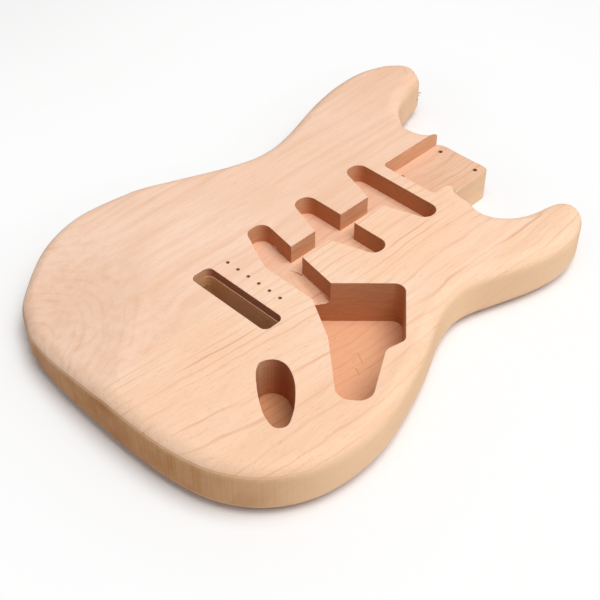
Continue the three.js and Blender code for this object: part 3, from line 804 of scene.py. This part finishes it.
def sanded_colour(tree, spot, colour, lie, look):
    """Sandpaper leaves the sides warmer, and brown end grain with soft saw marks.

    The rounded lower edge, where it faces down, gets a painted brown contact shade.
    """
    upward, flat, wall, endwise = lie
    side = node(
        tree, "ShaderNodeMath", {0: wall, 1: SIDE_COVER}, operation="MULTIPLY"
    ).outputs[0]
    end = node(tree, "ShaderNodeMath", {0: wall, 1: endwise}, operation="MULTIPLY").outputs[0]
    saw_mark = figure(tree, spot, "saw_mark")[1]
    end = node(tree, "ShaderNodeMath", {0: end, 1: saw_mark}, operation="MULTIPLY").outputs[0]
    end_tone = node(
        tree, "ShaderNodeMath", {0: end, 1: END_COVER}, operation="MULTIPLY"
    ).outputs[0]
    patch = figure(tree, spot, "patch")[1]
    patch = node(
        tree, "ShaderNodeMath", {0: patch, 1: endwise}, operation="MULTIPLY"
    ).outputs[0]
    patch = node(tree, "ShaderNodeMath", {0: patch, 1: end}, operation="MULTIPLY").outputs[0]
    # Painted contact shade: the rounded lower edge turns dark brown where it faces down, though not
    # the flat back.
    contact_shade = node(
        tree, "ShaderNodeMapRange",
        {"Value": upward, "From Min": CONTACT_SHADE_TURNS[0], "From Max": CONTACT_SHADE_TURNS[1]},
    ).outputs[0]
    contact_shade = node(
        tree, "ShaderNodeMath", {0: contact_shade, 1: flat}, operation="SUBTRACT", use_clamp=True
    ).outputs[0]
    for amount, tone in ((side, "side"), (end_tone, "end"), (patch, "patch"), (contact_shade, "contact_shade")):
        colour = node(
            tree, "ShaderNodeMix", {0: amount, 6: colour, 7: linear(look[tone])},
            data_type="RGBA",
        ).outputs[2]
    return colour


def cut_colour(tree, spot, face, lie, look, cut_by):
    """Floors and ribbed walls of a cut, and the cutter's ribs.

    Painted shade browns floors and walls the more, the deeper they lie.
    """
    colour, line, fibre_tone = face
    upward, flat, wall, endwise = lie
    # Painted shade in the cut, stronger the deeper it lies: floors take the floor colour, walls the
    # brown.
    height = node(tree, "ShaderNodeSeparateXYZ", {0: spot}).outputs["Z"]
    recess_shade = node(
        tree, "ShaderNodeMapRange",
        {"Value": height, "From Min": RECESS_SHADE_HEIGHTS[0], "From Max": RECESS_SHADE_HEIGHTS[1],
         "To Min": RECESS_SHADE_COVER[0], "To Max": RECESS_SHADE_COVER[1]},
    ).outputs[0]
    floor_colour = node(
        tree, "ShaderNodeMix", {0: recess_shade, 6: colour, 7: linear(look[f"{cut_by}_floor"])},
        data_type="RGBA",
    ).outputs[2]
    wall_colour = node(
        tree, "ShaderNodeMix",
        {0: endwise, 6: linear(look[cut_by]), 7: linear(look[f"{cut_by}_end"])},
        data_type="RGBA",
    ).outputs[2]
    # Painted shade down the walls, from the same depth.
    wall_recess_shade = node(
        tree, "ShaderNodeMath", {0: recess_shade, 1: WALL_SHADE_COVER}, operation="MULTIPLY"
    ).outputs[0]
    wall_colour = node(
        tree, "ShaderNodeMix", {0: wall_recess_shade, 6: wall_colour, 7: linear(look["cut_marks_and_shade"])},
        data_type="RGBA",
    ).outputs[2]
    cover = node(
        tree, "ShaderNodeMath", {0: wall, 1: WALL_COVER}, operation="MULTIPLY"
    ).outputs[0]
    colour = node(
        tree, "ShaderNodeMix", {0: cover, 6: floor_colour, 7: wall_colour}, data_type="RGBA"
    ).outputs[2]
    rib = figure(tree, spot, "cutter_rib")[1]
    rib = node(tree, "ShaderNodeMath", {0: rib, 1: wall}, operation="MULTIPLY").outputs[0]
    for mark, most in ((line, CUT_LINE_COVER), (fibre_tone, CUT_FIBRE_COVER), (rib, RIB_COVER)):
        amount = node(
            tree, "ShaderNodeMath", {0: mark, 1: most}, operation="MULTIPLY"
        ).outputs[0]
        colour = node(
            tree, "ShaderNodeMix", {0: amount, 6: colour, 7: linear(look["cut_marks_and_shade"])},
            data_type="RGBA",
        ).outputs[2]
    return colour, rib


def alder(name, look, cut_by):
    """Alder, solid all through: growth rings round a pith line, fibres and soft stains.

    The rings are laid out in millimetres, so the faces, the sides and the end grain
    of a board all show the same tree. Sandpaper leaves the faces pale and dull, and
    the end grain yellow-brown; the rounded lower edge gets painted contact shade. The
    router and the mill leave walls that are orange along the grain and red-brown
    across it, and faintly ribbed. The saw leaves the slot's lower walls yellower.
    Down in all the cuts, painted shade browns floors and walls the more, the deeper
    they lie.
    """
    wood = bpy.data.materials.new(name)
    wood.use_nodes = True
    tree = wood.node_tree
    shader = tree.nodes["Principled BSDF"]
    place = node(tree, "ShaderNodeTexCoord").outputs["Object"]
    spot = node(
        tree, "ShaderNodeVectorMath", {0: place, 1: (1 / MM,) * 3, 2: tuple(SHIFT / -MM)},
        operation="MULTIPLY_ADD",
    ).outputs[0]
    colour, line, fibre, fibre_tone = face_grain(tree, spot, look)
    lie = surface_lie(tree)
    if cut_by == "sandpaper":
        colour, relief = sanded_colour(tree, spot, colour, lie, look), fibre
    else:
        face = (colour, line, fibre_tone)
        colour, rib = cut_colour(tree, spot, face, lie, look, cut_by)
        relief = node(
            tree, "ShaderNodeMath", {0: rib, 1: RIB_RELIEF, 2: fibre}, operation="MULTIPLY_ADD"
        ).outputs[0]
    tree.links.new(colour, shader.inputs["Base Color"])
    dullness = node(
        tree, "ShaderNodeMapRange",
        {"Value": fibre, "To Min": ROUGHNESS[0], "To Max": ROUGHNESS[1]},
    ).outputs[0]
    tree.links.new(dullness, shader.inputs["Roughness"])
    grain = node(
        tree, "ShaderNodeBump",
        {"Strength": FIBRE_RELIEF, "Distance": FIBRE_HEIGHT * MM, "Height": relief},
    ).outputs[0]
    tree.links.new(grain, shader.inputs["Normal"])
    return wood


# What each cutter leaves on the wood. The boards' own alder takes their places.
SANDED = bpy.data.materials.new("sanded_face")
ROUTED = bpy.data.materials.new("routed_wall")
SAWN = bpy.data.materials.new("sawn_slot_wall")
MILLED = bpy.data.materials.new("milled_wall")
TOOLS = {
    SANDED.name: ("sanded", "sandpaper"),
    ROUTED.name: ("routed", "router"),
    SAWN.name: ("sawn", "saw"),
    MILLED.name: ("milled", "mill"),
}


# ------------------------------------------------------------ the three boards


def carved_body():
    body = body_blank()
    forearm = contour_cutter(
        "forearm_cutter", FOREARM_SPAN, FOREARM_DROPS, FOREARM_BREAK, THICKNESS, -1
    )
    belly = contour_cutter("belly_cutter", BELLY_SPAN, BELLY_DROPS, BELLY_BREAK, 0, 1)
    cut(body, [forearm, belly])
    cut(body, front_cutters())
    cut(body, back_cutters())
    cut(body, small_marks("splinter", SPLINTERS, SANDED), "UNION")
    cut(body, small_marks("torn_fibre", TORN_FIBRES, MILLED), "UNION")
    return cut(body, hole_cutters() + small_marks("scar_cutter", SCARS, ROUTED))


def board_from(body, name, left, right):
    board = bpy.data.objects.new(name, body.data.copy())
    bpy.context.scene.collection.objects.link(board)
    near, far = -SLAB_END, SLAB_END
    ring = [Vector(spot) for spot in ((left, near), (right, near), (right, far), (left, far))]
    return cut(board, [prism("board_slab", ring, -CLEAR, THICKNESS + CLEAR)], "INTERSECT")


def shade(board):
    """Rounded edges shade smoothly, and flat faces stay flat."""
    board.data.shade_smooth()
    board.data.set_sharp_from_angle(angle=math.radians(SHARP_ANGLE))
    shading = board.modifiers.new("flat_faces_stay_flat", "WEIGHTED_NORMAL")
    shading.keep_sharp = True


whole = carved_body()
planes = (-SLAB_SIDE, *SEAMS, SLAB_SIDE)
for index, slot in enumerate(BOARD_LOOKS):
    board = board_from(whole, f"alder_{slot}", planes[index], planes[index + 1])
    board.data.transform(Matrix.Translation(SHIFT))
    look = BOARD_LOOKS[slot] | TOOL_LOOKS
    finishes = {
        bare: alder(f"{finish}_alder_{slot}", look, tool)
        for bare, (finish, tool) in TOOLS.items()
    }
    for place, bare in enumerate(board.data.materials):
        board.data.materials[place] = finishes[bare.name]
    shade(board)
    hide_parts(slot)
    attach(board, BODY)
bpy.data.objects.remove(whole)

# ------------------------------------------------------------ camera, floor and light

CAMERA_PLACE = (474.84, -512.90, 613.2)
CAMERA_AZIMUTH, CAMERA_ELEVATION = 44.7, 42.7
LENS, SENSOR, LENS_SHIFT = 68.94, 36.0, (0.0028, 0.0012)

camera_data = bpy.data.cameras.new("photo_camera")
camera_data.lens = LENS
camera_data.sensor_width = SENSOR
camera_data.shift_x, camera_data.shift_y = LENS_SHIFT
camera = bpy.data.objects.new("photo_camera", camera_data)
camera.location = Vector(CAMERA_PLACE) * MM
camera.rotation_euler = (math.radians(90 - CAMERA_ELEVATION), 0.0, math.radians(CAMERA_AZIMUTH))
bpy.context.scene.collection.objects.link(camera)
bpy.context.scene.camera = camera

# The floor is ruled in small cells round the body, and in wide bands further out.
FLOOR_REACH, FLOOR_FINE, FLOOR_CELL = 4000.0, 300.0, 6.0
FLOOR_BANDS, FLOOR_BAND = 12, 50.0

# The floor's own white: from which distance to which it gains how much.
FLOOR_GLOW = [(0.0, 14.0, 0.5), (0.0, 80.0, 0.4), (180.0, 500.0, -0.4)]


def floor_lines():
    """Where the floor is ruled, along X and along Y alike."""
    cells = int(2 * FLOOR_FINE / FLOOR_CELL)
    fine = [-FLOOR_FINE + FLOOR_CELL * step for step in range(cells + 1)]
    wide = [FLOOR_FINE + FLOOR_BAND * step for step in range(1, FLOOR_BANDS + 1)]
    return [-FLOOR_REACH, *(-place for place in wide[::-1]), *fine, *wide, FLOOR_REACH]


def floor_glow(spot, rim, outline):
    """How much of the floor's white is its own: none under the body, most near it."""
    nearest, index, gap = outline.find(spot)
    if (spot - nearest).xy.dot(rim[index][1]) < 0:
        return 0.0
    glow = 0.0
    for low, high, gain in FLOOR_GLOW:
        glow += gain * min(1.0, max(0.0, (gap - low) / (high - low)))
    return glow


def paper_floor():
    """A sheet of white paper, ruled so that its glow can fade towards the body."""
    lines = floor_lines()
    spots = [Vector((x, y, 0)) for x in lines for y in lines]
    size = len(lines)
    rim = [outline_at(step / RIM_STEPS) for step in range(RIM_STEPS)]
    outline = KDTree(len(rim))
    for index, row in enumerate(rim):
        outline.insert(row[0].to_3d() + SHIFT / MM, index)
    outline.balance()
    faces = []
    for row in range(size - 1):
        for column in range(size - 1):
            first = row * size + column
            faces.append((first, first + size, first + size + 1, first + 1))
    mesh = bpy.data.meshes.new("floor")
    mesh.from_pydata([spot * MM for spot in spots], [], faces)
    glow = mesh.attributes.new("glow", "FLOAT", "POINT")
    glow.data.foreach_set("value", [floor_glow(spot, rim, outline) for spot in spots])
    sheet = bpy.data.objects.new("floor", mesh)
    bpy.context.scene.collection.objects.link(sheet)
    return sheet


def white_paper():
    """Matt white paper. The camera sees it glow away from the body, so it stays white."""
    paper = bpy.data.materials.new("white_paper_floor")
    paper.use_nodes = True
    tree = paper.node_tree
    tree.nodes.remove(tree.nodes["Principled BSDF"])
    seen = node(tree, "ShaderNodeLightPath").outputs["Is Camera Ray"]
    spread = node(tree, "ShaderNodeAttribute", attribute_name="glow").outputs["Fac"]
    share = node(
        tree, "ShaderNodeMath", {0: seen, 1: spread}, operation="MULTIPLY"
    ).outputs[0]
    lit = node(tree, "ShaderNodeBsdfDiffuse", {"Color": linear("#f4f2f1")}).outputs[0]
    white = {"Color": linear("#ffffff"), "Strength": 1.0}
    glow = node(tree, "ShaderNodeEmission", white).outputs[0]
    blend = node(tree, "ShaderNodeMixShader", {0: share, 1: lit, 2: glow}).outputs[0]
    tree.links.new(blend, tree.nodes["Material Output"].inputs["Surface"])
    return paper


floor = paper_floor()
floor.data.materials.append(white_paper())

SKY_STRENGTH = 0.34
sky = bpy.data.worlds.new("soft_sky")
bpy.context.scene.world = sky
sky.use_nodes = True
sky.node_tree.nodes["Background"].inputs["Color"].default_value = linear("#ffffff")
sky.node_tree.nodes["Background"].inputs["Strength"].default_value = SKY_STRENGTH

# Each lamp: watts, then size and place in metres, all aimed at the middle of the body.
LAMPS = {
    "overhead_softbox": (36, 1.5, (0.72, 0.13, 1.95)),
    "window": (3, 1.2, (1.54, 1.52, 0.8)),
}
for name, (watts, size, place) in LAMPS.items():
    lamp_data = bpy.data.lights.new(name, "AREA")
    lamp_data.energy = watts
    lamp_data.size = size
    lamp = bpy.data.objects.new(name, lamp_data)
    lamp.location = place
    lamp.rotation_euler = (-Vector(place)).to_track_quat("-Z", "Y").to_euler()
    bpy.context.scene.collection.objects.link(lamp)

bpy.context.scene.view_settings.view_transform = "Standard"
